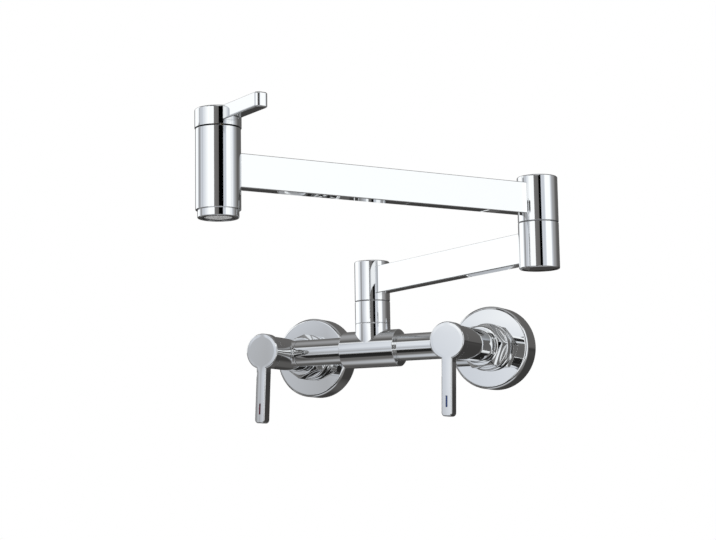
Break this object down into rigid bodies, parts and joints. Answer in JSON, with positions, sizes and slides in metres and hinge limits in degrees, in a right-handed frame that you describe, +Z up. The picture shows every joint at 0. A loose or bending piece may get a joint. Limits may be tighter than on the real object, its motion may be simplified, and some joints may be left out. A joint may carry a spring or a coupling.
{
  "type": "wall mounted pot filler",
  "caption": "Wall mounted pot filler: bridge body with hot and cold lever valves, folding double arm on swivel joints, and an outlet valve with its own lever over an aerator.",
  "frame": {"origin": "on the wall face, midway between the axes of the hot and cold inlets", "axes": "+X to the right as the user sees it, towards the cold inlet; +Y into the wall; +Z up. The tap stands out towards -Y"},
  "size_m": [0.2895, 0.3908, 0.1681],
  "materials": {
    "chrome": "polished chrome plate on brass",
    "brass": "plain machined brass",
    "steel": "plain stainless steel",
    "rubber": "black rubber seal",
    "ceramic": "lapped white ceramic",
    "dark_plastic": "low friction plastic",
    "black_plastic": "moulded plastic",
    "red_enamel": "glossy enamel",
    "blue_enamel": "glossy enamel"
  },
  "bodies": {
    "wall_body": {"hot_wall_connector": "brass", "cold_wall_connector": "brass", "hot_wall_flange": "chrome", "cold_wall_flange": "chrome", "hot_union_nut": "chrome", "cold_union_nut": "chrome", "union_washers": "rubber", "hot_tail_nipple": "brass", "cold_tail_nipple": "brass", "hot_valve_body": "chrome", "cold_valve_body": "chrome", "hot_cartridge_housing": "brass", "cold_cartridge_housing": "brass", "seat_seals": "rubber", "fixed_discs": "ceramic", "hot_bridge_tube": "chrome", "cold_bridge_tube": "chrome", "bridge_tee": "chrome", "riser_collar": "chrome", "riser_spindle": "brass", "riser_rings": "rubber", "riser_slip_washer": "dark_plastic", "riser_retaining_washer": "steel", "riser_retaining_screw": "steel"},
    "hot_control": {"hot_turning_disc": "ceramic", "hot_spindle": "brass", "hot_spindle_rings": "rubber", "hot_handle": "chrome", "hot_colour_mark": "red_enamel", "hot_set_screw": "steel"},
    "cold_control": {"cold_turning_disc": "ceramic", "cold_spindle": "brass", "cold_spindle_rings": "rubber", "cold_handle": "chrome", "cold_colour_mark": "blue_enamel", "cold_set_screw": "steel"},
    "lower_arm": {"riser_hub": "chrome", "riser_hub_cover": "chrome", "lower_arm_bar": "chrome", "elbow_lower_hub": "chrome", "elbow_hub_cover": "chrome"},
    "upper_arm": {"elbow_spindle": "brass", "elbow_rings": "rubber", "elbow_slip_washer": "dark_plastic", "elbow_retaining_washer": "steel", "elbow_retaining_screw": "steel", "elbow_upper_hub": "chrome", "upper_arm_bar": "chrome", "outlet_body": "chrome", "outlet_seat_seal": "rubber", "outlet_fixed_disc": "ceramic", "outlet_cartridge_housing": "brass", "aerator_housing": "chrome", "aerator_insert": "black_plastic", "aerator_washer": "rubber"},
    "outlet_control": {"outlet_turning_disc": "ceramic", "outlet_spindle": "brass", "outlet_spindle_rings": "rubber", "outlet_handle": "chrome", "outlet_set_screw": "steel"}
  },
  "joints": [
    {"name": "lower_arm_swing", "type": "hinge", "parent": "wall_body", "child": "lower_arm", "pos_m": [0, -0.057, 0.0352], "axis": [0, 0, 1], "range_deg": [-149.7, 30.3]},
    {"name": "elbow_swing", "type": "hinge", "parent": "lower_arm", "child": "upper_arm", "pos_m": [0.17095, -0.1569, 0.0648], "axis": [0, 0, 1], "range_deg": [-88.4, 271.6]},
    {"name": "outlet_handle_turn", "type": "hinge", "parent": "upper_arm", "child": "outlet_control", "pos_m": [0.05126, -0.34919, 0.1041], "axis": [0, 0, 1], "range_deg": [-90, 0]},
    {"name": "hot_handle_turn", "type": "hinge", "parent": "wall_body", "child": "hot_control", "pos_m": [-0.075, -0.0835, 0], "axis": [0, 1, 0], "range_deg": [0, 90]},
    {"name": "cold_handle_turn", "type": "hinge", "parent": "wall_body", "child": "cold_control", "pos_m": [0.075, -0.0835, 0], "axis": [0, 1, 0], "range_deg": [-90, 0]}
  ]
}
